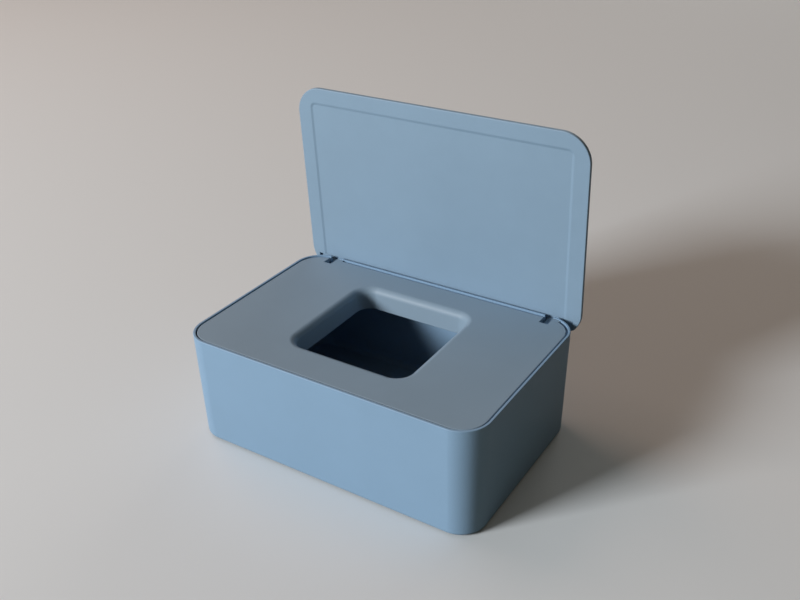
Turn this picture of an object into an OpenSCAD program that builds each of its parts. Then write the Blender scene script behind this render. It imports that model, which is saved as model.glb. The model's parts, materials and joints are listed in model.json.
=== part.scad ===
// Countertop wipes dispenser: a rounded moulded tub, a drop-in cover with a
// square dispensing throat, and a flat lid that swings up on two hinge arms.
// Drawn with the lid standing open, as it is used.
// Millimetres, +Z up, -Y is the front. Z = 0 is the worktop, and X = Y = 0 is
// the middle of everything seen from above, the open lid included.

/* [Body] */
// Width of the tub and the lid, left to right
body_w = 185; // [150:1:260]
// Depth of the tub and the lid, front to back
body_d = 122.5; // [112:0.5:180]
// Height from the worktop to the top of the rim
rim_z = 66.8; // [45:0.1:120]
// Radius of the upright corners, seen from above
corner_r = 16.5; // [12:0.5:24]
// How far each side leans in from the rim down to the base
draft = 1.3; // [0:0.1:2.5]
// Thickness of the tub's walls
wall = 2.2; // [1.8:0.1:3]
// Thickness of the tub's floor
floor_t = 2.4; // [2:0.1:4]
// Rounding where the walls turn under the base
base_edge_r = 2; // [1:0.5:4]
// Rounding where the walls meet the floor inside
floor_fillet_r = 4; // [2:0.5:8]
// Width of the rim that shows round the cover
rim_w = 1.4; // [1.2:0.1:1.6]
// Rounding of the rim's edges
rim_edge_r = 0.4; // [0.2:0.1:0.5]
// How far the ledge under the cover reaches in from the wall
ledge_w = 1.8; // [1.4:0.1:3]
// Height of the ledge's upright face
ledge_h = 1.6; // [1:0.1:4]

/* [Feet] */
// Diameter of each round foot pad
foot_d = 10; // [6:0.5:14]
// Thickness of each foot pad
foot_t = 1.4; // [1.2:0.1:2.4]
// How far the pads stand out of the base
foot_stand = 0.6; // [0.4:0.1:1]
// Distance from the tub's sides to the middle of each foot
foot_inset = 20; // [17:1:30]
// Clearance round each foot in its socket
foot_clear = 0.2; // [0.1:0.05:0.4]

/* [Cover] */
// Thickness of the cover's plate
cover_t = 2; // [1.6:0.1:2.4]
// Gap between the rim and the cover at the front and sides
cover_gap = 0.7; // [0.4:0.1:0.9]
// Gap between the rim and the cover at the back
rear_gap = 1.5; // [1:0.1:1.6]
// How far the plate lies below the top of the rim
cover_sink = 0.3; // [0:0.1:0.6]
// Rounding of the plate's upper edge
cover_edge_r = 0.6; // [0.3:0.1:0.9]
// Thickness of the skirt that drops inside the ledge
skirt_t = 1.6; // [1.2:0.1:2.4]
// How far the skirt drops below the plate
skirt_drop = 7; // [5:0.5:12]
// Clearance between the skirt and the ledge
skirt_clear = 0.4; // [0.3:0.1:0.8]
// Thickness of the stiffening ribs under the plate
rib_t = 1.4; // [1:0.1:2]
// Depth of the stiffening ribs under the plate
rib_drop = 4; // [2:0.5:6]
// Distance between the two ribs on each side of the throat
rib_spacing = 40; // [25:1:50]
// Width of the two lugs that reach back from the cover to the rim
lug_w = 4.5; // [3:0.5:6]

/* [Opening] */
// Width of the dispensing opening at the top of its rounded edge
opening_w = 81; // [60:1:100]
// Depth of the dispensing opening, front to back
opening_d = 81; // [60:0.5:84]
// Distance of the opening's middle behind the middle of the tub
opening_y = 1.2; // [-2:0.1:3]
// Radius of the opening's corners at the top, seen from above
opening_r = 13; // [9:0.5:20]
// Rounding that rolls the plate down into the throat
opening_fillet_r = 4; // [2.5:0.1:5]
// Depth of the throat below the plate's face
throat_depth = 13.5; // [8:0.5:20]
// Thickness of the throat's wall
throat_t = 1.8; // [1.4:0.1:2.4]
// How far the throat's walls lean in on their way down
throat_draft = 0.4; // [0:0.1:1]

/* [Lid] */
// Thickness of the lid at its border
lid_t = 3.2; // [3.1:0.1:5]
// Rounding of the lid's outer edge
lid_edge_r = 1.4; // [0.6:0.1:1.8]
// Rounding of the lid's lower edge
lid_lower_r = 0.5; // [0.2:0.1:0.8]
// Gap between the closed lid and the rim
lid_gap = 0.3; // [0.2:0.05:0.5]
// Width of the border on three sides of the panel sunk in the lid's underside
panel_inset = 9.6; // [6:0.1:14]
// Depth of the sunk panel
panel_depth = 0.5; // [0.3:0.1:0.8]
// Radius of the sunk panel's corners
panel_r = 3; // [2:0.5:8]
// Width of the thin strip along the lid's back edge
relief_w = 11.6; // [11.4:0.1:12]
// How far that strip is cut back, so that it swings clear of the rim
relief_depth = 2; // [1.9:0.1:2.1]
// Distance of the strip's ends in from the lid's sides, clear of the rounded corners
relief_inset = 4.6; // [4:0.1:5]
// How far the lid stands open, from closed
lid_open = 87; // [80:1:90]

/* [Hinge] */
// Distance from each side of the tub to the middle of its hinge slot
hinge_inset = 18.1; // [18:0.1:40]
// Distance of the hinge pins in from the tub's back face
hinge_back = 5.8; // [5.6:0.1:6]
// Distance of the hinge pins below the top of the rim
hinge_drop = 6.6; // [6.4:0.1:7]
// Radius of the hinge pins
pin_r = 1; // [0.8:0.05:1.2]
// Radial running clearance between a pin and the lid's arm
pin_clear = 0.05; // [0.02:0.01:0.1]
// Radius of the round end of each arm
boss_r = 2.2; // [2:0.1:2.3]
// Width of each hinge arm
arm_w = 4.4; // [3:0.1:6]
// Thickness of each hinge arm
arm_t = 2.2; // [1.8:0.1:2.4]
// Distance from the pin's axis forward to the arm's back face
arm_offset = 0.6; // [0.4:0.1:0.8]
// Clearance on each side of an arm in its slot
arm_side_gap = 0.5; // [0.4:0.1:0.8]
// How far each slot reaches forward from the pin
slot_front = 3.6; // [3.5:0.1:6]
// Thickness of the cheeks that hold the ends of a pin
cheek_t = 3; // [2:0.5:4]
// Clearance round the cheeks and arms in the tub's back wall
notch_clear = 0.3; // [0.3:0.05:0.5]
// How far an arm is rooted in the lid's thin strip
arm_root = 0.8; // [0.4:0.1:1]
// How far the foot of an arm widens where it meets the lid
gusset_w = 0.4; // [0:0.1:0.5]
// Height of that widening
gusset_h = 1.8; // [0.8:0.1:2.5]
// Bevel on the ends of the pins and on the soles of the foot pads
bevel = 0.3; // [0.1:0.1:0.5]

/* [Hidden] */
$fn = 96;
// Straight steps that stand for each rounded edge
arc_steps = 8;
// How far cutters run past the faces that they cut
past = 1;

plastic = [0.47, 0.58, 0.68];
lid_plastic = [0.50, 0.62, 0.72];
rubber = [0.20, 0.22, 0.24];
steel = [0.72, 0.73, 0.75];

base_z = foot_stand;
plate_z = rim_z - cover_sink;
ledge_z = plate_z - cover_t;
hinge_z = rim_z - hinge_drop;
lid_z = rim_z + lid_gap;
slot_w = arm_w + 2 * arm_side_gap;
hinge_x = body_w / 2 - hinge_inset;
// The arm's top face when the lid is open stands this far above the pin
arm_reach = arm_offset + arm_t;

// The lowest back corner of the open lid is the furthest point back, and the
// tub is set forward so that the whole object is centred
lid_back = body_d / 2 - hinge_back + lid_edge_r
    + (hinge_drop + lid_gap + lid_t - lid_edge_r) * sin(lid_open)
    + (hinge_back - lid_edge_r) * cos(lid_open);
body_y = -(lid_back - body_d / 2) / 2;
hinge_y = body_d / 2 - hinge_back;

// Distances between the axes of the rounded corners
corner_dx = body_w - 2 * corner_r;
corner_dy = body_d - 2 * corner_r;

function arc(u, z, r, from, to) =
    [for (i = [0:arc_steps]) let (a = from + (to - from) * i / arc_steps) [u + r * cos(a), z + r * sin(a)]];

// The outline of a bar whose two long edges both have the given profile
function both_edges(profile, half) =
    concat([for (p = profile) [half + p.x, p.y]],
           [for (i = [len(profile) - 1:-1:0]) [-half - profile[i].x, profile[i].y]]);

// A rounded rectangular slab whose edge follows the profile all the way round.
// The profile runs from the corner's axis at the bottom out to the edge and
// back to the axis at the top, and dx and dy are the distances between the axes.
module slab(dx, dy, profile) {
    for (x = [-dx / 2, dx / 2], y = [-dy / 2, dy / 2])
        translate([x, y, 0]) rotate_extrude() polygon(profile);
    rotate([90, 0, 90]) translate([0, 0, -dx / 2])
        linear_extrude(dx) polygon(both_edges(profile, dy / 2));
    rotate([90, 0, 0]) translate([0, 0, -dy / 2])
        linear_extrude(dy) polygon(both_edges(profile, dx / 2));
}

// A profile with an upright edge of radius r between two heights
function plain_edge(r, low, high) = [[0, low], [r, low], [r, high], [0, high]];

// Places what is drawn about the middle of the tub
module on_body() {
    translate([0, body_y, 0]) children();
}

// Repeats what is drawn at each of the two hinges
module at_hinges() {
    for (side = [-1, 1]) translate([side * hinge_x, hinge_y, hinge_z]) children();
}

// A plate across the hinge, of width w, from an outline in Y and Z
module across(w) {
    rotate([90, 0, 90]) translate([0, 0, -w / 2]) linear_extrude(w) children();
}

// The tub's outer radius about a corner axis at a height
function outer_r(z) = corner_r - draft * (rim_z - z) / (rim_z - base_z);

module tub() {
    floor_z = base_z + floor_t;
    ledge_r = corner_r - wall - ledge_w;
    recess_r = corner_r - rim_w;
    under_z = ledge_z - ledge_h;
    slope_z = under_z - ledge_w;
    outside = concat(
        [[0, base_z]],
        arc(outer_r(base_z) - base_edge_r, base_z + base_edge_r, base_edge_r, -90, 0),
        arc(corner_r - rim_edge_r, rim_z - rim_edge_r, rim_edge_r, 0, 90),
        [[0, rim_z]]);
    inside = concat(
        [[0, floor_z]],
        arc(outer_r(floor_z) - wall - floor_fillet_r, floor_z + floor_fillet_r, floor_fillet_r, -90, 0),
        [[outer_r(slope_z) - wall, slope_z], [ledge_r, under_z], [ledge_r, ledge_z],
         [recess_r, ledge_z], [recess_r, rim_z + past], [0, rim_z + past]]);
    socket_depth = foot_t - foot_stand;
    pocket_w = slot_w + 2 * cheek_t + 2 * notch_clear;
    color(plastic) on_body() difference() {
        slab(corner_dx, corner_dy, outside);
        slab(corner_dx, corner_dy, inside);
        // The arms pass through notches in the back wall
        at_hinges() across(arm_w + 2 * arm_side_gap)
            translate([0, arm_offset - notch_clear])
                square([hinge_back + past, hinge_drop - arm_offset + notch_clear + past]);
        // The ledge stops short of the cheeks
        at_hinges() across(pocket_w)
            translate([-slot_front, -hinge_drop])
                square([slot_front + boss_r + notch_clear, 2 * hinge_drop + past]);
        for (x = [-1, 1], y = [-1, 1])
            translate([x * (body_w / 2 - foot_inset), y * (body_d / 2 - foot_inset), base_z - past])
                cylinder(h = past + socket_depth, d = foot_d + 2 * foot_clear);
    }
}

module cover() {
    edge_r = corner_r - rim_w - cover_gap;
    plate_dy = corner_dy - (rear_gap - cover_gap);
    shift = -(rear_gap - cover_gap) / 2;
    skirt_r = corner_r - wall - ledge_w - skirt_clear;
    throat_r = opening_r - opening_fillet_r;
    throat_z = plate_z - throat_depth;
    opening_dx = opening_w - 2 * opening_r;
    opening_dy = opening_d - 2 * opening_r;
    skirt_z = ledge_z - skirt_drop;
    plate = concat([[0, ledge_z], [edge_r, ledge_z]],
                   arc(edge_r - cover_edge_r, plate_z - cover_edge_r, cover_edge_r, 0, 90),
                   [[0, plate_z]]);
    funnel = concat([[0, throat_z - past], [throat_r - throat_draft, throat_z - past],
                     [throat_r - throat_draft, throat_z]],
                    arc(opening_r, plate_z - opening_fillet_r, opening_fillet_r, 180, 90),
                    [[opening_r, plate_z + past], [0, plate_z + past]]);
    color(plastic) on_body() difference() {
        union() {
            translate([0, shift, 0]) slab(corner_dx, plate_dy, plate);
            difference() {
                slab(corner_dx, corner_dy, plain_edge(skirt_r, skirt_z, ledge_z));
                slab(corner_dx, corner_dy, plain_edge(skirt_r - skirt_t, skirt_z - past, ledge_z));
            }
            difference() {
                union() {
                    translate([0, opening_y, 0])
                        slab(opening_dx, opening_dy, plain_edge(throat_r + throat_t, throat_z, ledge_z));
                    ribs(skirt_r - skirt_t / 2);
                }
                translate([0, opening_y, 0])
                    slab(opening_dx, opening_dy, plain_edge(throat_r, throat_z - past, ledge_z - past));
            }
            at_hinges() cheeks();
            lugs();
        }
        translate([0, opening_y, 0]) slab(opening_dx, opening_dy, funnel);
        at_hinges() across(slot_w)
            translate([-slot_front, -hinge_drop - past])
                square([slot_front + hinge_back, 2 * (hinge_drop + past)]);
        at_hinges() rotate([0, 90, 0])
            cylinder(h = slot_w + 2 * cheek_t, r = pin_r, center = true);
    }
}

// Stiffening ribs that run from the throat out to the skirt
module ribs(end_r) {
    long_x = corner_dx + 2 * end_r;
    long_y = corner_dy + 2 * end_r;
    for (side = [-1, 1]) {
        translate([-long_x / 2, side * rib_spacing / 2 - rib_t / 2, ledge_z - rib_drop])
            cube([long_x, rib_t, rib_drop]);
        translate([side * rib_spacing / 2 - rib_t / 2, -long_y / 2, ledge_z - rib_drop])
            cube([rib_t, long_y, rib_drop]);
    }
}

// The bearing blocks that hold a pin on both sides of its slot
module cheeks() {
    across(slot_w + 2 * cheek_t) {
        circle(r = boss_r);
        translate([-boss_r, 0]) square([2 * boss_r, ledge_z - hinge_z]);
    }
}

// Two lugs bridge the gap to the rim, each just to the right of its slot, and
// keep the same clearance all along the rim
module lugs() {
    start_y = body_d / 2 - rim_w - rear_gap - cover_edge_r;
    intersection() {
        for (side = [-1, 1])
            translate([side * hinge_x + slot_w / 2, start_y, ledge_z])
                cube([lug_w, rear_gap + cover_edge_r, cover_t]);
        slab(corner_dx, corner_dy, plain_edge(corner_r - rim_w - notch_clear, ledge_z, plate_z));
    }
}

// The lid as it lies when closed
module closed_lid() {
    edge = concat([[0, lid_z]],
                  arc(corner_r - lid_lower_r, lid_z + lid_lower_r, lid_lower_r, -90, 0),
                  arc(corner_r - lid_edge_r, lid_z + lid_t - lid_edge_r, lid_edge_r, 0, 90),
                  [[0, lid_z + lid_t]]);
    difference() {
        slab(corner_dx, corner_dy, edge);
        translate([0, panel_r, 0])
            slab(body_w - 2 * (panel_inset + panel_r), body_d - 2 * panel_inset,
                 plain_edge(panel_r, lid_z - past, lid_z + panel_depth));
        // The panel runs out into the thin strip along the back edge
        translate([-body_w / 2 + relief_inset, body_d / 2 - relief_w, lid_z - past])
            cube([body_w - 2 * relief_inset, relief_w + past, past + relief_depth]);
    }
    at_hinges() arm();
}

// A hinge arm: a leg down from the lid with a round end on the pin
module arm() {
    top = hinge_drop + lid_gap;
    root = top + relief_depth + arm_root;
    leg = [[-arm_reach, 0], [-arm_offset, 0], [-arm_offset, root], [-arm_reach - gusset_w, root],
           [-arm_reach - gusset_w, top], [-arm_reach, top - gusset_h]];
    difference() {
        across(arm_w) {
            circle(r = boss_r);
            polygon(leg);
            // The heel joins the round end to the leg
            translate([-arm_reach, -boss_r]) square([arm_reach, boss_r]);
        }
        rotate([0, 90, 0]) cylinder(h = arm_w + 2 * past, r = pin_r + pin_clear, center = true);
    }
}

module lid() {
    color(lid_plastic) on_body()
        translate([0, hinge_y, hinge_z]) rotate([-lid_open, 0, 0]) translate([0, -hinge_y, -hinge_z])
            closed_lid();
}

module hinge_pin(side) {
    half = slot_w / 2 + cheek_t;
    outline = [[0, -half], [pin_r - bevel, -half], [pin_r, -half + bevel],
               [pin_r, half - bevel], [pin_r - bevel, half], [0, half]];
    color(steel) on_body()
        translate([side * hinge_x, hinge_y, hinge_z]) rotate([0, 90, 0])
            rotate_extrude() polygon(outline);
}

module foot(x, y) {
    r = foot_d / 2;
    color(rubber) on_body()
        translate([x * (body_w / 2 - foot_inset), y * (body_d / 2 - foot_inset), 0])
            rotate_extrude()
                polygon([[0, 0], [r - bevel, 0], [r, bevel], [r, foot_t], [0, foot_t]]);
}

tub();
cover();
lid();
hinge_pin(-1);  // hinge_pin_left
hinge_pin(1);  // hinge_pin_right
foot(-1, -1);  // foot_front_left
foot(1, -1);  // foot_front_right
foot(-1, 1);  // foot_back_left
foot(1, 1);  // foot_back_right
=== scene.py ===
"""A countertop wipes dispenser of matte blue-grey plastic, with its lid standing open.

The tub, the cover and the lid are drawn again here as finer mouldings, in place of the
frame's solids, from the same sizes. The hinge pins and the feet stay the frame's own.
"""

import json
import math

import bmesh
import bpy
from mathutils import Matrix, Vector


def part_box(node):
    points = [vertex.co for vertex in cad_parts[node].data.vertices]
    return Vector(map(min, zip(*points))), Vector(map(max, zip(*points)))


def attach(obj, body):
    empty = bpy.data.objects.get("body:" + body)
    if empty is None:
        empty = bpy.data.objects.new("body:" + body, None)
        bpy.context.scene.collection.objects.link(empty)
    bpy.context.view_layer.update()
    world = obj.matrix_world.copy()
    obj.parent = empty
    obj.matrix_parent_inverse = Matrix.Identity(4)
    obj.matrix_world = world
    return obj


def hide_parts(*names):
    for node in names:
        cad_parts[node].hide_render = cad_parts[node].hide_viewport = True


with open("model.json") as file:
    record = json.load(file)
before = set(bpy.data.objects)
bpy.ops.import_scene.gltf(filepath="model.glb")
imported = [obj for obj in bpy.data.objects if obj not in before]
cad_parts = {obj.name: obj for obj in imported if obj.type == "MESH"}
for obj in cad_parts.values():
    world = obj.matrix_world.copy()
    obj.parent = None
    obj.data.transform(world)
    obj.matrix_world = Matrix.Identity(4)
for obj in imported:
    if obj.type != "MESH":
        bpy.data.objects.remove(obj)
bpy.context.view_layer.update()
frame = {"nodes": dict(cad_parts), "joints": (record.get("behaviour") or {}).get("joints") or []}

# Sizes that come from the frame, in metres
TUB_LOW, TUB_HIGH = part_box("tub")
BODY = TUB_HIGH - TUB_LOW
BODY_Y = (TUB_LOW.y + TUB_HIGH.y) / 2
BASE_Z = TUB_LOW.z
RIM_Z = TUB_HIGH.z
PIN_LOW, PIN_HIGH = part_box("hinge_pin_right")
HINGE = next(joint for joint in frame["joints"] if joint["name"] == "lid_hinge")
HINGE_Y, HINGE_Z = HINGE["pos_m"][1:]
HINGE_X = (PIN_LOW.x + PIN_HIGH.x) / 2
LID_OPEN = math.radians(max(HINGE["range_deg"]))

# The tub
CORNER_R = 0.0165
DRAFT = 0.0013
WALL = 0.0022
FLOOR_T = 0.0024
BASE_EDGE_R = 0.002
FLOOR_FILLET_R = 0.004
RIM_W = 0.0014
RIM_EDGE_R = 0.0004
RIM_INNER_R = 0.0002
LEDGE_W = 0.0018
LEDGE_H = 0.0016
LEDGE_EDGE_R = 0.0003
FOOT_SOCKET_R = 0.0052
FOOT_SOCKET_DEPTH = 0.0008

# The cover
COVER_T = 0.002
COVER_GAP = 0.0007
REAR_GAP = 0.0015
COVER_SINK = 0.0003
COVER_EDGE_R = 0.0006
SKIRT_T = 0.0016
SKIRT_DROP = 0.007
SKIRT_CLEAR = 0.0004
RIB_T = 0.0014
RIB_DROP = 0.004
RIB_SPACING = 0.040
LUG_W = 0.0045
OPENING_W = 0.081
OPENING_D = 0.081
OPENING_Y = 0.0012
OPENING_R = 0.013
OPENING_FILLET_R = 0.004
THROAT_DEPTH = 0.0135
THROAT_T = 0.0018
THROAT_DRAFT = 0.0004
LIP_R = 0.0005
# How deep the ribs reach into the throat's wall and into the plate, as shares of their thickness
RIB_IN_THROAT = 0.75
RIB_IN_PLATE = 0.25

# The lid
LID_T = 0.0032
LID_EDGE_R = 0.0014
LID_LOWER_R = 0.0005
LID_GAP = 0.0003
PANEL_INSET = 0.0096
PANEL_DEPTH = 0.0005
PANEL_R = 0.003
PANEL_SLOPE_W = 0.002
RELIEF_W = 0.0116
RELIEF_DEPTH = 0.002
RELIEF_INSET = 0.0046

# The hinge
PIN_R = 0.001
PIN_CLEAR = 0.00005
BOSS_R = 0.0022
ARM_W = 0.0044
ARM_T = 0.0022
ARM_OFFSET = 0.0006
ARM_SIDE_GAP = 0.0005
ARM_ROOT = 0.0008
GUSSET_W = 0.0004
GUSSET_H = 0.0018
SLOT_FRONT = 0.0036
CHEEK_T = 0.003
NOTCH_CLEAR = 0.0003

# Marks that the mould leaves where they don't show in use
EJECTOR_R = 0.003
EJECTOR_DEPTH = 0.00012
EJECTOR_X = (-0.06, -0.02, 0.02, 0.06)
EJECTOR_Y = (-0.03, 0.03)
GATE_R = 0.0016
GATE_DEPTH = 0.0004

# Segments of a quarter turn, in the corners seen from above and in the small roundings
CORNER_STEPS = 20
EDGE_STEPS = 5
# Segments of a whole turn, and steps down the panel's slope
ROD_STEPS = 32
DISC_STEPS = 40
PANEL_STEPS = 10
# How far a cutter runs past what it cuts
PAST = 0.001
# The angle from which an edge is sharp, and how much the large faces count in the shading
SHARP_FROM = math.radians(35)
LARGE_FACE_WEIGHT = 100

SPREAD_X = BODY.x - 2 * CORNER_R
SPREAD_Y = BODY.y - 2 * CORNER_R
BODY_BACK = BODY_Y + BODY.y / 2
PLATE_Z = RIM_Z - COVER_SINK
LEDGE_Z = PLATE_Z - COVER_T
LID_Z = RIM_Z + LID_GAP
SLOT_W = ARM_W + 2 * ARM_SIDE_GAP
BLOCK_W = SLOT_W + 2 * CHEEK_T


class Ring:
    """One rounded rectangle in a moulding's section: its corner radius, its height, how far
    apart its corners' middles are, and where it is centred from front to back."""

    def __init__(self, radius, z, spread_x=SPREAD_X, spread_y=SPREAD_Y, y=BODY_Y):
        self.radius = radius
        self.z = z
        self.spread = (spread_x, spread_y)
        self.y = y


def quarter(radius, z, size, start, end, **place):
    """The rings of a rounded edge, from one angle to another, in degrees."""
    rings = []
    for step in range(EDGE_STEPS + 1):
        angle = math.radians(start + (end - start) * step / EDGE_STEPS)
        rings.append(Ring(radius + size * math.cos(angle), z + size * math.sin(angle), **place))
    return rings


def draw_ring(mesh, ring):
    """Draws a ring as a circle whose four quarters are moved apart."""
    count = 4 * CORNER_STEPS
    half_step = math.pi / count
    turned = Matrix.Rotation(half_step, 4, "Z")
    circle = bmesh.ops.create_circle(mesh, segments=count, matrix=turned,
                                     radius=ring.radius / math.cos(half_step))
    for vertex in circle["verts"]:
        vertex.co.x += math.copysign(ring.spread[0] / 2, vertex.co.x)
        vertex.co.y += math.copysign(ring.spread[1] / 2, vertex.co.y) + ring.y
    return circle["verts"]


def moulding(rings, closed=False):
    """A solid whose wall runs from each ring to the next, capped at both ends unless it is closed.
    The rings are stacked while they are bridged, because two in one plane would be joined
    crosswise, and then each goes to its own height."""
    mesh = bmesh.new()
    drawn = [draw_ring(mesh, ring) for ring in rings]
    loops = [list({edge for vertex in verts for edge in vertex.link_edges}) for verts in drawn]
    for level, verts in enumerate(drawn):
        bmesh.ops.translate(mesh, verts=verts, vec=(0, 0, level * PAST))
    for first, second in zip(loops, loops[1:]):
        bmesh.ops.bridge_loops(mesh, edges=first + second)
    if closed:
        bmesh.ops.bridge_loops(mesh, edges=loops[-1] + loops[0])
    else:
        bmesh.ops.contextual_create(mesh, geom=loops[0])
        bmesh.ops.contextual_create(mesh, geom=loops[-1])
    for ring, verts in zip(rings, drawn):
        for vertex in verts:
            vertex.co.z = ring.z
    return mesh


def block(low, high):
    """A box between two corners."""
    low, high = Vector(low), Vector(high)
    mesh = bmesh.new()
    size = Matrix.Diagonal(high - low).to_4x4()
    bmesh.ops.create_cube(mesh, size=1, matrix=Matrix.Translation((low + high) / 2) @ size)
    return mesh


def cylinder(radius, length, place, steps):
    """A cylinder of a length, upright until it is placed."""
    mesh = bmesh.new()
    bmesh.ops.create_cone(mesh, cap_ends=True, segments=steps, radius1=radius, radius2=radius,
                          depth=length, matrix=place)
    return mesh


def rod(radius, x, width):
    """A cylinder on the hinge's axis, with its middle at x."""
    place = Matrix.Translation((x, HINGE_Y, HINGE_Z)) @ Matrix.Rotation(math.pi / 2, 4, "Y")
    return cylinder(radius, width, place, ROD_STEPS)


def disc(radius, x, y, low, high):
    """An upright cylinder between two heights."""
    return cylinder(radius, high - low, Matrix.Translation((x, y, (low + high) / 2)), DISC_STEPS)


def finished(mesh, name):
    """Turns a bmesh into an object with its faces outward."""
    bmesh.ops.recalc_face_normals(mesh, faces=mesh.faces)
    data = bpy.data.meshes.new(name)
    mesh.to_mesh(data)
    mesh.free()
    piece = bpy.data.objects.new(name, data)
    bpy.context.scene.collection.objects.link(piece)
    return piece


def apply_modifiers(piece):
    """Makes what the modifiers show the piece's own mesh."""
    shown = piece.evaluated_get(bpy.context.evaluated_depsgraph_get())
    data = bpy.data.meshes.new_from_object(shown)
    piece.modifiers.clear()
    piece.data = data


def combine(piece, operation, tools):
    """Joins each tool to the piece, cuts the piece with it, or keeps what lies in both."""
    for mesh in tools:
        tool = finished(mesh, "tool")
        change = piece.modifiers.new(operation.lower(), "BOOLEAN")
        change.operation = operation
        change.solver = "EXACT"
        change.object = tool
        apply_modifiers(piece)
        bpy.data.objects.remove(tool)


def smooth(piece):
    """Shades the roundings smooth, keeps the flats flat and leaves sharp corners sharp."""
    for face in piece.data.polygons:
        face.use_smooth = True
    piece.data.set_sharp_from_angle(angle=SHARP_FROM)
    weighted = piece.modifiers.new("flat faces first", "WEIGHTED_NORMAL")
    weighted.keep_sharp = True
    weighted.weight = LARGE_FACE_WEIGHT
    apply_modifiers(piece)


def at_both_hinges(*makes):
    """One of each form for the left and the right hinge."""
    return [make(side * HINGE_X) for make in makes for side in (-1, 1)]


# The tub

def outer_radius(z):
    """The corner radius of the tub's outer wall at a height, with its draft."""
    return CORNER_R - DRAFT * (RIM_Z - z) / (RIM_Z - BASE_Z)


def tub_rings():
    """The section of the wall: up the outside, over the rim and the ledge, and down to the
    floor."""
    floor_z = BASE_Z + FLOOR_T
    recess_r = CORNER_R - RIM_W
    ledge_r = CORNER_R - WALL - LEDGE_W
    under_z = LEDGE_Z - LEDGE_H
    slope_z = under_z - LEDGE_W
    outer = (quarter(outer_radius(BASE_Z) - BASE_EDGE_R, BASE_Z + BASE_EDGE_R, BASE_EDGE_R, -90, 0)
             + quarter(CORNER_R - RIM_EDGE_R, RIM_Z - RIM_EDGE_R, RIM_EDGE_R, 0, 90))
    ledge = (quarter(recess_r + RIM_INNER_R, RIM_Z - RIM_INNER_R, RIM_INNER_R, 90, 180)
             + [Ring(recess_r, LEDGE_Z)]
             + quarter(ledge_r + LEDGE_EDGE_R, LEDGE_Z - LEDGE_EDGE_R, LEDGE_EDGE_R, 90, 180)
             + [Ring(ledge_r, under_z), Ring(outer_radius(slope_z) - WALL, slope_z)])
    inner = quarter(outer_radius(floor_z) - WALL - FLOOR_FILLET_R, floor_z + FLOOR_FILLET_R,
                    FLOOR_FILLET_R, 0, -90)
    return outer + ledge + inner


def arm_notch(x):
    """The notch in the back wall that an arm passes through."""
    return block((x - SLOT_W / 2, HINGE_Y, HINGE_Z + ARM_OFFSET - NOTCH_CLEAR),
                 (x + SLOT_W / 2, BODY_BACK + PAST, RIM_Z + PAST))


def ledge_break(x):
    """The break in the ledge that leaves room for a bearing block."""
    half = BLOCK_W / 2 + NOTCH_CLEAR
    return block((x - half, HINGE_Y - SLOT_FRONT, LEDGE_Z - LEDGE_H - LEDGE_W - PAST),
                 (x + half, BODY_BACK - WALL, LEDGE_Z + PAST))


def foot_sockets():
    """The shallow sockets in the base that hold the feet."""
    sockets = []
    for foot in ("front_left", "front_right", "back_left", "back_right"):
        low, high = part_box("foot_" + foot)
        middle = (low + high) / 2
        sockets.append(disc(FOOT_SOCKET_R, middle.x, middle.y, BASE_Z - PAST,
                            BASE_Z + FOOT_SOCKET_DEPTH))
    return sockets


def tub_marks():
    """Ejector marks on the floor inside, and the sunk gate in the middle of the base."""
    floor_z = BASE_Z + FLOOR_T
    marks = [disc(GATE_R, 0, BODY_Y, BASE_Z - PAST, BASE_Z + GATE_DEPTH)]
    for x in EJECTOR_X:
        for y in EJECTOR_Y:
            marks.append(disc(EJECTOR_R, x, BODY_Y + y, floor_z - EJECTOR_DEPTH, floor_z + PAST))
    return marks


def make_tub():
    tub = finished(moulding(tub_rings()), "tub_shell")
    combine(tub, "DIFFERENCE", at_both_hinges(arm_notch, ledge_break))
    combine(tub, "DIFFERENCE", foot_sockets() + tub_marks())
    smooth(tub)
    return tub


# The cover

def cover_rings():
    """The section of the plate, the throat and the skirt, once round."""
    edge_r = CORNER_R - RIM_W - COVER_GAP
    skirt_r = CORNER_R - WALL - LEDGE_W - SKIRT_CLEAR
    throat_r = OPENING_R - OPENING_FILLET_R
    throat_z = PLATE_Z - THROAT_DEPTH
    skirt_z = LEDGE_Z - SKIRT_DROP
    shift = (REAR_GAP - COVER_GAP) / 2
    plate = {"spread_y": SPREAD_Y - 2 * shift, "y": BODY_Y - shift}
    opening = {"spread_x": OPENING_W - 2 * OPENING_R,
               "spread_y": OPENING_D - 2 * OPENING_R,
               "y": BODY_Y + OPENING_Y}
    return ([Ring(edge_r, LEDGE_Z, **plate)]
            + quarter(edge_r - COVER_EDGE_R, PLATE_Z - COVER_EDGE_R, COVER_EDGE_R, 0, 90, **plate)
            + quarter(OPENING_R, PLATE_Z - OPENING_FILLET_R, OPENING_FILLET_R, 90, 180, **opening)
            + quarter(throat_r - THROAT_DRAFT + LIP_R, throat_z + LIP_R, LIP_R, 180, 270, **opening)
            + quarter(throat_r + THROAT_T - LIP_R, throat_z + LIP_R, LIP_R, -90, 0, **opening)
            + [Ring(throat_r + THROAT_T, LEDGE_Z, **opening),
               Ring(skirt_r - SKIRT_T, LEDGE_Z),
               Ring(skirt_r - SKIRT_T, skirt_z),
               Ring(skirt_r, skirt_z),
               Ring(skirt_r, LEDGE_Z)])


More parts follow.
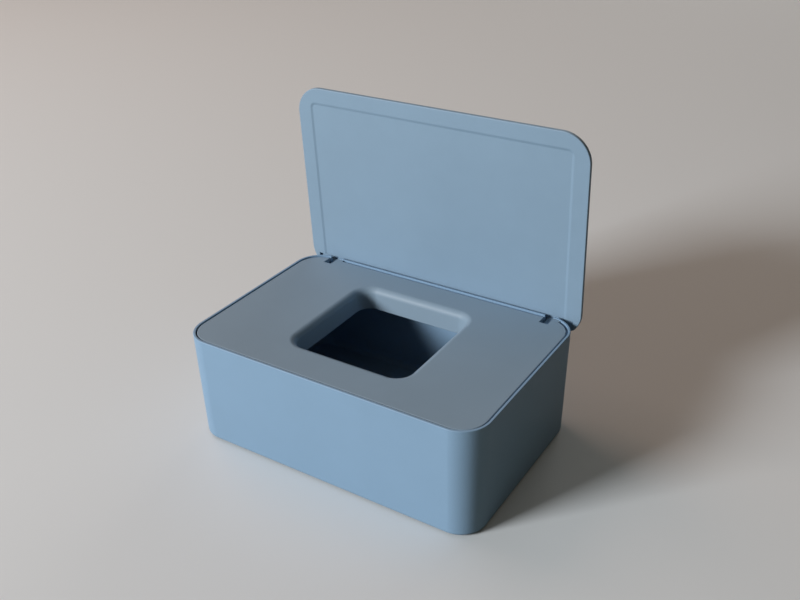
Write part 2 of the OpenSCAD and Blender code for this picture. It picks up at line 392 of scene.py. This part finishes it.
def ribs():
    """Ribs under the plate, each in two halves from the throat out to the skirt."""
    start_x = OPENING_W / 2 - OPENING_FILLET_R + THROAT_T * RIB_IN_THROAT
    start_y = OPENING_D / 2 - OPENING_FILLET_R + THROAT_T * RIB_IN_THROAT
    reach_x = BODY.x / 2 - WALL - LEDGE_W - SKIRT_CLEAR - SKIRT_T / 2
    reach_y = BODY.y / 2 - WALL - LEDGE_W - SKIRT_CLEAR - SKIRT_T / 2
    low, high = LEDGE_Z - RIB_DROP, LEDGE_Z + COVER_T * RIB_IN_PLATE
    made = []
    for line in (-RIB_SPACING / 2, RIB_SPACING / 2):
        side_low, side_high = line - RIB_T / 2, line + RIB_T / 2
        for way in (-1, 1):
            x0, x1 = sorted((way * start_x, way * reach_x))
            y0, y1 = sorted((OPENING_Y + way * start_y, way * reach_y))
            made.append(block((x0, BODY_Y + side_low, low), (x1, BODY_Y + side_high, high)))
            made.append(block((side_low, BODY_Y + y0, low), (side_high, BODY_Y + y1, high)))
    return made


def bearing(x):
    """The block that holds both ends of a pin, round below."""
    return rod(BOSS_R, x, BLOCK_W)


def bearing_top(x):
    """The part of a bearing block that joins it to the plate."""
    return block((x - BLOCK_W / 2, HINGE_Y - BOSS_R, HINGE_Z),
                 (x + BLOCK_W / 2, HINGE_Y + BOSS_R, LEDGE_Z))


def lug(x):
    """A small bridge from the plate back towards the rim, just to the right of a slot."""
    side = x + SLOT_W / 2
    back = BODY_BACK - RIM_W
    return block((side, back - REAR_GAP - COVER_EDGE_R, LEDGE_Z),
                 (side + LUG_W, back - NOTCH_CLEAR, PLATE_Z))


def hinge_slot(x):
    """The slot in the plate that an arm swings in."""
    return block((x - SLOT_W / 2, HINGE_Y - SLOT_FRONT, LEDGE_Z - SKIRT_DROP - PAST),
                 (x + SLOT_W / 2, BODY_BACK, PLATE_Z + PAST))


def pin_bore(x):
    return rod(PIN_R, x, BLOCK_W + PAST)


def make_cover():
    """The cover, trimmed where its blocks and lugs would run into the rim."""
    cover = finished(moulding(cover_rings(), closed=True), "cover_shell")
    combine(cover, "UNION", at_both_hinges(bearing_top, bearing))
    combine(cover, "UNION", at_both_hinges(lug) + ribs())
    trim_r = CORNER_R - RIM_W - NOTCH_CLEAR
    combine(cover, "INTERSECT", [moulding([Ring(trim_r, BASE_Z), Ring(trim_r, PLATE_Z)])])
    combine(cover, "DIFFERENCE", at_both_hinges(hinge_slot, pin_bore))
    smooth(cover)
    return cover


# The lid

def lid_rings():
    """The lid's section as it lies closed: its lower edge, then its upper one."""
    return (quarter(CORNER_R - LID_LOWER_R, LID_Z + LID_LOWER_R, LID_LOWER_R, -90, 0)
            + quarter(CORNER_R - LID_EDGE_R, LID_Z + LID_T - LID_EDGE_R, LID_EDGE_R, 0, 90))


def panel_rings():
    """The space sunk in the underside, with a soft slope all round, which runs out into the
    thin strip at the back. The first ring lies just outside, so that the cut is clean."""
    place = {"spread_x": BODY.x - 2 * (PANEL_INSET + PANEL_R),
             "spread_y": BODY.y - 2 * PANEL_INSET,
             "y": BODY_Y + PANEL_R}
    rings = []
    for step in range(-1, PANEL_STEPS + 1):
        part = step / PANEL_STEPS
        rise = part * part * (3 - 2 * part) if step > 0 else part / 2
        radius = PANEL_R + PANEL_SLOPE_W * (0.5 - part)
        rings.append(Ring(radius, LID_Z + PANEL_DEPTH * rise, **place))
    return rings


def back_relief():
    """The back edge is cut back to a thin strip, so that it swings clear of the rim."""
    half = BODY.x / 2 - RELIEF_INSET
    return block((-half, BODY_BACK - RELIEF_W, LID_Z - PAST),
                 (half, BODY_BACK + PAST, LID_Z + RELIEF_DEPTH))


def arm_leg(x):
    """The straight part of an arm: a few corners in side view, drawn out to the arm's width."""
    top = LID_Z - HINGE_Z
    root = top + RELIEF_DEPTH + ARM_ROOT
    reach = ARM_OFFSET + ARM_T
    outline = [(-reach, -BOSS_R), (0, -BOSS_R), (0, 0), (-ARM_OFFSET, 0), (-ARM_OFFSET, root),
               (-reach - GUSSET_W, root), (-reach - GUSSET_W, top), (-reach, top - GUSSET_H)]
    mesh = bmesh.new()
    corners = [mesh.verts.new((x - ARM_W / 2, HINGE_Y + y, HINGE_Z + z)) for y, z in outline]
    side = mesh.faces.new(corners)
    drawn = bmesh.ops.extrude_face_region(mesh, geom=[side], use_keep_orig=True)
    moved = [item for item in drawn["geom"] if isinstance(item, bmesh.types.BMVert)]
    bmesh.ops.translate(mesh, verts=moved, vec=(ARM_W, 0, 0))
    return mesh


def arm_end(x):
    """The round end of an arm, about the pin."""
    return rod(BOSS_R, x, ARM_W)


def arm_bore(x):
    return rod(PIN_R + PIN_CLEAR, x, ARM_W + 2 * PAST)


def open_up(piece):
    """Swings the closed lid up to where it stands."""
    axis = Vector((0, HINGE_Y, HINGE_Z))
    turn = Matrix.Rotation(-LID_OPEN, 4, "X")
    piece.data.transform(Matrix.Translation(axis) @ turn @ Matrix.Translation(-axis))


def make_lid():
    lid = finished(moulding(lid_rings()), "lid_shell")
    combine(lid, "DIFFERENCE", [moulding(panel_rings()), back_relief()])
    combine(lid, "UNION", at_both_hinges(arm_leg, arm_end))
    combine(lid, "DIFFERENCE", at_both_hinges(arm_bore))
    open_up(lid)
    smooth(lid)
    return lid


# Materials

class Value:
    """A shader socket that adds a Math node for each operator used on it."""

    def __init__(self, graph, socket):
        self.graph = graph
        self.socket = socket

    def math(self, operation, *others):
        sockets = dict(enumerate((self, *others)))
        return self.graph.add("ShaderNodeMath", {"operation": operation}, sockets)

    def __add__(self, other):
        return self.math("ADD", other)

    __radd__ = __add__

    def __mul__(self, other):
        return self.math("MULTIPLY", other)

    __rmul__ = __mul__


class Graph:
    """The nodes of a material or of the world."""

    def __init__(self, owner):
        owner.use_nodes = True
        self.nodes = owner.node_tree.nodes
        self.links = owner.node_tree.links

    def add(self, kind, settings, sockets, output=0):
        """Adds a node: its settings first, then the values or links of its sockets."""
        node = self.nodes.new(kind)
        for name, value in settings.items():
            setattr(node, name, value)
        for key, value in sockets.items():
            self.connect(value, node.inputs[key])
        return Value(self, node.outputs[output])

    def connect(self, value, socket):
        """Links a socket, or sets it to a number or a colour."""
        if isinstance(value, Value):
            self.links.new(value.socket, socket)
        else:
            socket.default_value = value

    def ray(self, kind):
        """1 for light of one kind, such as what the camera sees directly, and 0 for the rest."""
        return self.add("ShaderNodeLightPath", {}, {}, output=f"Is {kind} Ray")


class Surface(Graph):
    """The nodes of one material."""

    def __init__(self, name):
        self.material = bpy.data.materials.new(name)
        super().__init__(self.material)
        self.shader = self.nodes["Principled BSDF"]
        self.place = self.add("ShaderNodeTexCoord", {}, {}, output="Object")

    def noise(self, size, detail=2, roughness=0.5):
        """Soft random blotches of a size in metres, from 0 to 1."""
        return self.add("ShaderNodeTexNoise", {}, {"Vector": self.place, "Scale": 1 / size,
                                                   "Detail": detail, "Roughness": roughness})

    def between(self, value, low, high):
        """A soft step: 0 below low and 1 above high."""
        return self.add("ShaderNodeMapRange", {"interpolation_type": "SMOOTHSTEP"},
                        {"Value": value, "From Min": low, "From Max": high})

    def bump(self, height, distance, normal=None):
        """Relief of a height in metres for a pattern from 0 to 1."""
        sockets = {"Height": height, "Distance": distance}
        if normal is not None:
            sockets["Normal"] = normal
        return self.add("ShaderNodeBump", {}, sockets)

    def mix(self, factor, first, second):
        """A colour between two."""
        return self.add("ShaderNodeMix", {"data_type": "RGBA"},
                        {0: factor, 6: first, 7: second}, output=2)

    def finish(self, **sockets):
        """The material, once the shader's own sockets have their values or links."""
        for name, value in sockets.items():
            self.connect(value, self.shader.inputs[name.replace("_", " ")])
        return self.material


def srgb(red, green, blue):
    """A display colour, 0 to 255, as the shader's linear one."""
    linear = [((c / 255 + 0.055) / 1.055) ** 2.4 for c in (red, green, blue)]
    return (*linear, 1)


def shade(colour, amount):
    """A colour made lighter or darker."""
    return (*[min(1, c * amount) for c in colour[:3]], 1)


# The plastic, with the sizes of its patterns and the heights of their relief in metres
TUB_BLUE = srgb(131, 162, 190)
# The cover's and the lid's blues are the tub's blue made greyer and darker: painted light, for the
# weaker, warmer light that falls on the plate and on the lid
COVER_BLUE_PAINTED_LIGHT = srgb(131, 153, 171)
LID_BLUE_PAINTED_LIGHT = srgb(130, 156, 178)
TINT_SPREAD = 0.025
FLOW_SIZE = 0.045
FLOW_HEIGHT = 0.0001
CLOUD_SIZE = 0.009
GRAIN_SIZE = 0.0006
GRAIN_HEIGHT = 0.00003
PIT_SIZE = 0.00022
PIT_HEIGHT = 0.000012

# The steel, whose marks are this many to the metre along x, y and z
STEEL_DARK = srgb(176, 178, 182)
STEEL_LIGHT = srgb(205, 206, 208)
MARKS_PER_METRE = (60, 9000, 9000)
MARK_HEIGHT = 0.00001
STAIN_SIZE = 0.002

# The rubber
RUBBER_DARK = srgb(46, 49, 52)
RUBBER_LIGHT = srgb(66, 69, 72)
BLOOM_SIZE = 0.003
SPECK_SIZE = 0.0004
SPECK_HEIGHT = 0.00005


def moulded_plastic(name, colour, flow_offset):
    """Matte moulded plastic: a fine etched grain, gently wavy flats, and a faint unevenness in
    colour and gloss from the flow in the mould. The offset gives each moulding its own flow."""
    plastic = Surface(name)
    flow = plastic.noise(FLOW_SIZE + flow_offset)
    cloud = plastic.noise(CLOUD_SIZE, detail=3)
    grain = plastic.noise(GRAIN_SIZE, roughness=0.6)
    pits = plastic.noise(PIT_SIZE, detail=1)
    tint = plastic.between(flow * 0.55 + cloud * 0.25 + grain * 0.2, 0.3, 0.7)
    darker = shade(colour, 1 - TINT_SPREAD)
    lighter = shade(colour, 1 + TINT_SPREAD)
    wavy = plastic.bump(flow, FLOW_HEIGHT)
    grained = plastic.bump(grain, GRAIN_HEIGHT, wavy)
    return plastic.finish(Base_Color=plastic.mix(tint, darker, lighter),
                          Roughness=0.47 + cloud * 0.1 + grain * 0.06,
                          Normal=plastic.bump(pits, PIT_HEIGHT, grained),
                          IOR=1.5)


def drawn_steel(name):
    """Bright drawn wire, with fine marks along its length."""
    steel = Surface(name)
    across = steel.add("ShaderNodeMapping", {}, {"Vector": steel.place, "Scale": MARKS_PER_METRE})
    marks = steel.add("ShaderNodeTexNoise", {}, {"Vector": across, "Scale": 1, "Detail": 2})
    return steel.finish(Base_Color=steel.mix(steel.noise(STAIN_SIZE), STEEL_DARK, STEEL_LIGHT),
                        Metallic=1,
                        Roughness=0.22 + marks * 0.18,
                        Normal=steel.bump(marks, MARK_HEIGHT))


def soft_rubber(name):
    """Dark non-slip rubber with a dusty bloom."""
    rubber = Surface(name)
    bloom = rubber.between(rubber.noise(BLOOM_SIZE, detail=4), 0.35, 0.75)
    specks = rubber.noise(SPECK_SIZE)
    return rubber.finish(Base_Color=rubber.mix(bloom, RUBBER_DARK, RUBBER_LIGHT),
                         Roughness=0.72 + specks * 0.2,
                         Normal=rubber.bump(specks, SPECK_HEIGHT))


def dress(piece, material):
    piece.data.materials.clear()
    piece.data.materials.append(material)


def stands_for(piece, node, body):
    """The piece stands for a node, whose own part is hidden, and rides on its body."""
    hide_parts(node)
    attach(piece, body)


# The setting

CAMERA_PLACE = (0.254542, -0.376828, 0.336828)
CAMERA_YAW = -32.805
CAMERA_PITCH = 29.077
CAMERA_ROLL = -1.235
FOCAL_LENGTH = 42.725
SENSOR_WIDTH = 36
# Each lamp: which way it lies from the object, how far, how large, and its power and colour
LAMPS = {
    "key": ((-0.48, -0.795, 0.375), 3, 0.9, 100, (0.97, 0.985, 1.0)),
    "fill": ((-0.75, 0.15, 0.75), 2.5, 1.6, 14, (1.0, 0.66, 0.5)),
    "back": ((-0.05, 0.95, 0.3), 3, 1.6, 14, (1.0, 0.97, 0.94)),
}
LAMPS_AIM = Vector((0, 0, 0.06))
FLOOR_HALF = 2.4
FLOOR_ROUGHNESS = 0.85
FLOOR_BOUNCED = srgb(116, 122, 112)
FLOOR_SEEN = srgb(220, 225, 228)
BACKDROP = srgb(226, 227, 226)
AMBIENT = (1.0, 0.9, 0.72, 1)
AMBIENT_STRENGTH = 0.08


def add_camera():
    """The photograph's view: turned left, tipped down and rolled a little."""
    yaw, pitch, roll = (math.radians(a) for a in (CAMERA_YAW, CAMERA_PITCH, CAMERA_ROLL))
    ahead = Vector((math.sin(yaw) * math.cos(pitch),
                    math.cos(yaw) * math.cos(pitch),
                    -math.sin(pitch)))
    right = Vector((math.cos(yaw), -math.sin(yaw), 0))
    up = right.cross(ahead)
    level = Matrix((right, up, -ahead)).transposed()
    turn = level.to_4x4() @ Matrix.Rotation(roll, 4, "Z")
    data = bpy.data.cameras.new("camera")
    data.lens = FOCAL_LENGTH
    data.sensor_width = SENSOR_WIDTH
    camera = bpy.data.objects.new("camera", data)
    camera.matrix_world = Matrix.Translation(CAMERA_PLACE) @ turn
    bpy.context.scene.collection.objects.link(camera)
    bpy.context.scene.camera = camera


def add_lamp(name, toward, distance, size, power, colour):
    """A soft square lamp that looks at the middle of the object."""
    data = bpy.data.lights.new(name, "AREA")
    data.shape = "SQUARE"
    data.size = size
    data.energy = power
    data.color = colour
    lamp = bpy.data.objects.new(name, data)
    aim = Vector(toward).normalized()
    facing = aim.to_track_quat("Z", "Y").to_matrix().to_4x4()
    lamp.matrix_world = Matrix.Translation(aim * distance + LAMPS_AIM) @ facing
    bpy.context.scene.collection.objects.link(lamp)


def add_floor():
    """A plain pale floor that sends little light back up. The camera, mirrors and glass see its
    pale colour, and bounced light its darker one."""
    paint = Surface("pale floor")
    seen = paint.ray("Camera").math("MAXIMUM", paint.ray("Glossy"))
    seen = seen.math("MAXIMUM", paint.ray("Transmission"))
    material = paint.finish(Base_Color=paint.mix(seen, FLOOR_BOUNCED, FLOOR_SEEN),
                            Roughness=FLOOR_ROUGHNESS)
    mesh = bmesh.new()
    bmesh.ops.create_grid(mesh, x_segments=1, y_segments=1, size=FLOOR_HALF)
    floor = finished(mesh, "floor")
    if floor.data.polygons[0].normal.z < 0:
        floor.data.flip_normals()
    dress(floor, material)


def add_world():
    """Weak even light on the object, and a pale backdrop behind it."""
    world = bpy.data.worlds.new("studio")
    bpy.context.scene.world = world
    sky = Graph(world)
    ambient = sky.add("ShaderNodeBackground", {}, {"Color": AMBIENT, "Strength": AMBIENT_STRENGTH})
    backdrop = sky.nodes["Background"]
    sky.connect(BACKDROP, backdrop.inputs["Color"])
    light = sky.add("ShaderNodeMixShader", {}, {0: sky.ray("Camera"), 1: ambient,
                                                2: Value(sky, backdrop.outputs[0])})
    sky.connect(light, sky.nodes["World Output"].inputs["Surface"])


# The object

stands_for(make_tub(), "tub", "tub")
stands_for(make_cover(), "cover", "cover")
stands_for(make_lid(), "lid", "lid")
dress(bpy.data.objects["tub_shell"], moulded_plastic("tub plastic", TUB_BLUE, 0))
# The cover and the lid take the tub's blue with painted light in it, greyer and darker
dress(bpy.data.objects["cover_shell"], moulded_plastic("cover plastic", COVER_BLUE_PAINTED_LIGHT, 0.004))
dress(bpy.data.objects["lid_shell"], moulded_plastic("lid plastic", LID_BLUE_PAINTED_LIGHT, 0.008))

steel = drawn_steel("drawn steel wire")
rubber = soft_rubber("foot rubber")
for name, node in frame["nodes"].items():
    if name.startswith("hinge_pin"):
        dress(node, steel)
    if name.startswith("foot"):
        dress(node, rubber)

add_camera()
add_floor()
add_world()
for name, lamp in LAMPS.items():
    add_lamp(name, *lamp)
bpy.context.scene.view_settings.view_transform = "Standard"
